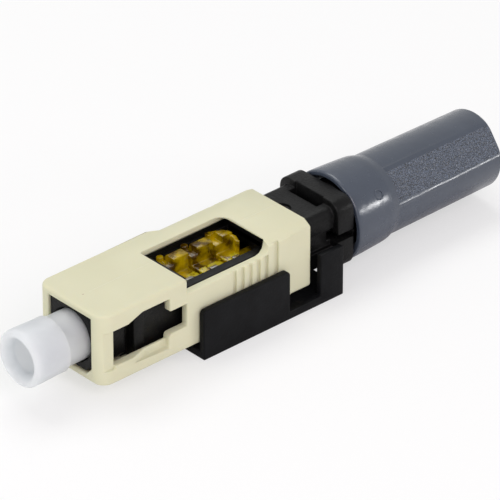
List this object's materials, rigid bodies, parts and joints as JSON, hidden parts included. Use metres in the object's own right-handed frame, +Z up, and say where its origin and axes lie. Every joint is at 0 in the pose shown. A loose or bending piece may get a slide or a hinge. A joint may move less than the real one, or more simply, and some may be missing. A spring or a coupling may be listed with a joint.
{
  "type": "sc fibre connector",
  "caption": "Field-fitted push-pull fibre connector: latch housing over a spring-loaded ferrule and V-groove splice, with wedge clip, cable nut and dust cap.",
  "frame": {"origin": "fibre centre line at the front face of the outer housing", "axes": "+X along the fibre towards the cable, +Y across the width away from the side that the splice window opens through, +Z up, away from the orientation key and the wedge clip"},
  "size_m": [0.0569, 0.0106, 0.0096],
  "materials": {
    "beige_housing": "satin beige moulded plastic",
    "black_body": "satin black moulded plastic",
    "zirconia": "polished white ceramic",
    "bright_metal": "turned metal",
    "fibre_glass": "glass fibre",
    "spring_steel": "bright spring steel",
    "amber_resin": "clear amber resin",
    "black_clip": "fine matt black plastic",
    "grey_nut": "satin dark grey plastic",
    "white_cap": "translucent white plastic"
  },
  "bodies": {
    "body": {"main_body": "black_body", "plug_frame": "black_body", "ferrule_spring": "spring_steel"},
    "housing": {"outer_housing": "beige_housing"},
    "ferrule_unit": {"ferrule": "zirconia", "ferrule_holder": "bright_metal", "fibre_stub": "fibre_glass", "splice_base": "amber_resin", "splice_lid_front": "amber_resin", "splice_lid_mid": "amber_resin", "splice_lid_rear": "amber_resin", "clamp_spring_front": "spring_steel", "clamp_spring_mid": "spring_steel", "clamp_spring_rear": "spring_steel"},
    "clip": {"wedge_clip": "black_clip"},
    "nut": {"tail_nut": "grey_nut"},
    "cap": {"dust_cap": "white_cap"}
  },
  "joints": [
    {"name": "housing_slide", "type": "slide", "parent": "body", "child": "housing", "axis": [1, 0, 0], "range_m": [0, 0.0018]},
    {"name": "ferrule_press", "type": "slide", "parent": "body", "child": "ferrule_unit", "axis": [1, 0, 0], "range_m": [0, 0.0006], "stiffness_N_per_m": 1500, "springref_m": -0.0005, "deforming": ["ferrule_spring"]},
    {"name": "clip_pull", "type": "slide", "parent": "body", "child": "clip", "axis": [0, 0, -1], "range_m": [0, 0.006]},
    {"name": "nut_turn", "type": "hinge", "parent": "body", "child": "nut", "pos_m": [0.04, 0, -0.0002], "axis": [1, 0, 0], "continuous": true},
    {"name": "cap_pull", "type": "slide", "parent": "body", "child": "cap", "axis": [-1, 0, 0], "range_m": [0, 0.012]}
  ]
}
